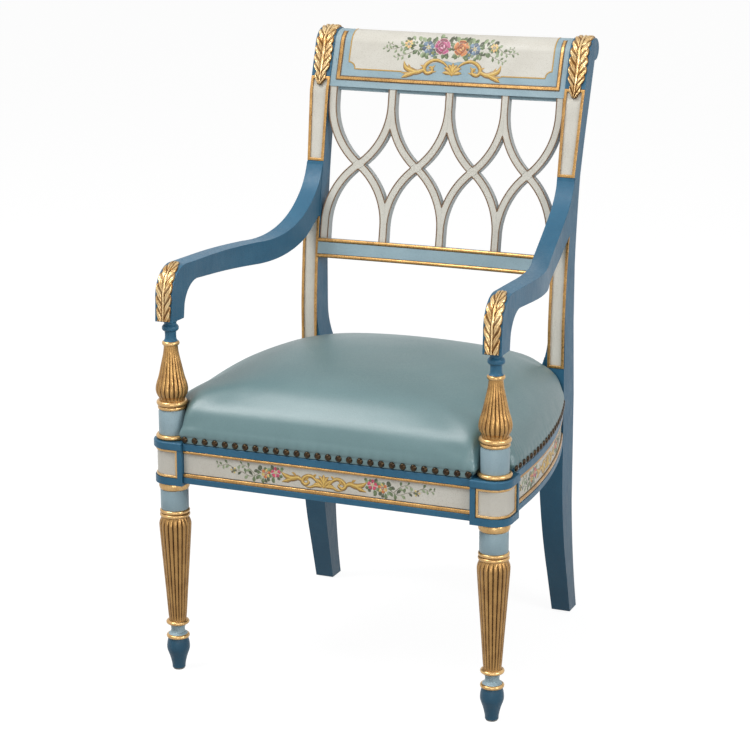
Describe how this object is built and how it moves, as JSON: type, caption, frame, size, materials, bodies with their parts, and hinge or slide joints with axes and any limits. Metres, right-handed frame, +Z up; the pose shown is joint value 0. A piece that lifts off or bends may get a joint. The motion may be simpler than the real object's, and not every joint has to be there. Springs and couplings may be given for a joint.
{
  "type": "open armchair",
  "caption": "Open armchair with turned reeded front legs, sabre back legs, arched lattice back, rolled crest rail, painted and gilt, with a fixed upholstered seat.",
  "frame": {"origin": "on the floor, under the middle of the chair's box", "axes": "+Z up, front of the chair towards -Y, +X to the right as seen from the front"},
  "size_m": [0.579, 0.5834, 0.9521],
  "materials": {
    "gilding": "worn gold leaf",
    "blue_paint": "blue paint, aged satin",
    "bare_wood": "unfinished beech",
    "pale_blue_paint": "pale blue paint, aged satin",
    "dust_cover": "black cambric",
    "cream_paint": "cream paint, aged satin",
    "glide": "dull",
    "upholstery": "satin",
    "webbing": "woven jute"
  },
  "bodies": {
    "root": {"arm_leaf_left": "gilding", "arm_leaf_right": "gilding", "arm_left": "blue_paint", "arm_right": "blue_paint", "arm_support_left": "blue_paint", "arm_support_right": "blue_paint", "back_post_left": "blue_paint", "back_post_right": "blue_paint", "back_seat_rail": "bare_wood", "block_frame_left": "gilding", "block_frame_right": "gilding", "corner_block_back_left": "bare_wood", "corner_block_back_right": "bare_wood", "corner_block_front_left": "bare_wood", "corner_block_front_right": "bare_wood", "crest_bead": "gilding", "crest_leaf_left": "gilding", "crest_leaf_right": "gilding", "crest_rail": "pale_blue_paint", "dust_cover": "dust_cover", "front_leg_left": "blue_paint", "front_leg_right": "blue_paint", "front_rail_bead_bottom": "gilding", "front_rail_bead_top": "gilding", "front_seat_rail": "cream_paint", "glide_back_left": "glide", "glide_back_right": "glide", "glide_front_left": "glide", "glide_front_right": "glide", "lower_back_rail": "pale_blue_paint", "lower_rail_bead_bottom": "gilding", "lower_rail_bead_top": "gilding", "post_frame_lower_left": "gilding", "post_frame_lower_right": "gilding", "post_frame_upper_left": "gilding", "post_frame_upper_right": "gilding", "seat_cushion": "upholstery", "seat_hem_back": "upholstery", "seat_hem_front": "upholstery", "seat_hem_side_left": "upholstery", "seat_hem_side_right": "upholstery", "seat_webbing": "webbing", "side_rail_bead_bottom_left": "gilding", "side_rail_bead_bottom_right": "gilding", "side_rail_bead_top_left": "gilding", "side_rail_bead_top_right": "gilding", "side_seat_rail_left": "cream_paint", "side_seat_rail_right": "cream_paint", "splat_bar_falling_1": "cream_paint", "splat_bar_falling_2": "cream_paint", "splat_bar_falling_3": "cream_paint", "splat_bar_falling_4": "cream_paint", "splat_bar_rising_1": "cream_paint", "splat_bar_rising_2": "cream_paint", "splat_bar_rising_3": "cream_paint", "splat_bar_rising_4": "cream_paint"}
  },
  "joints": []
}
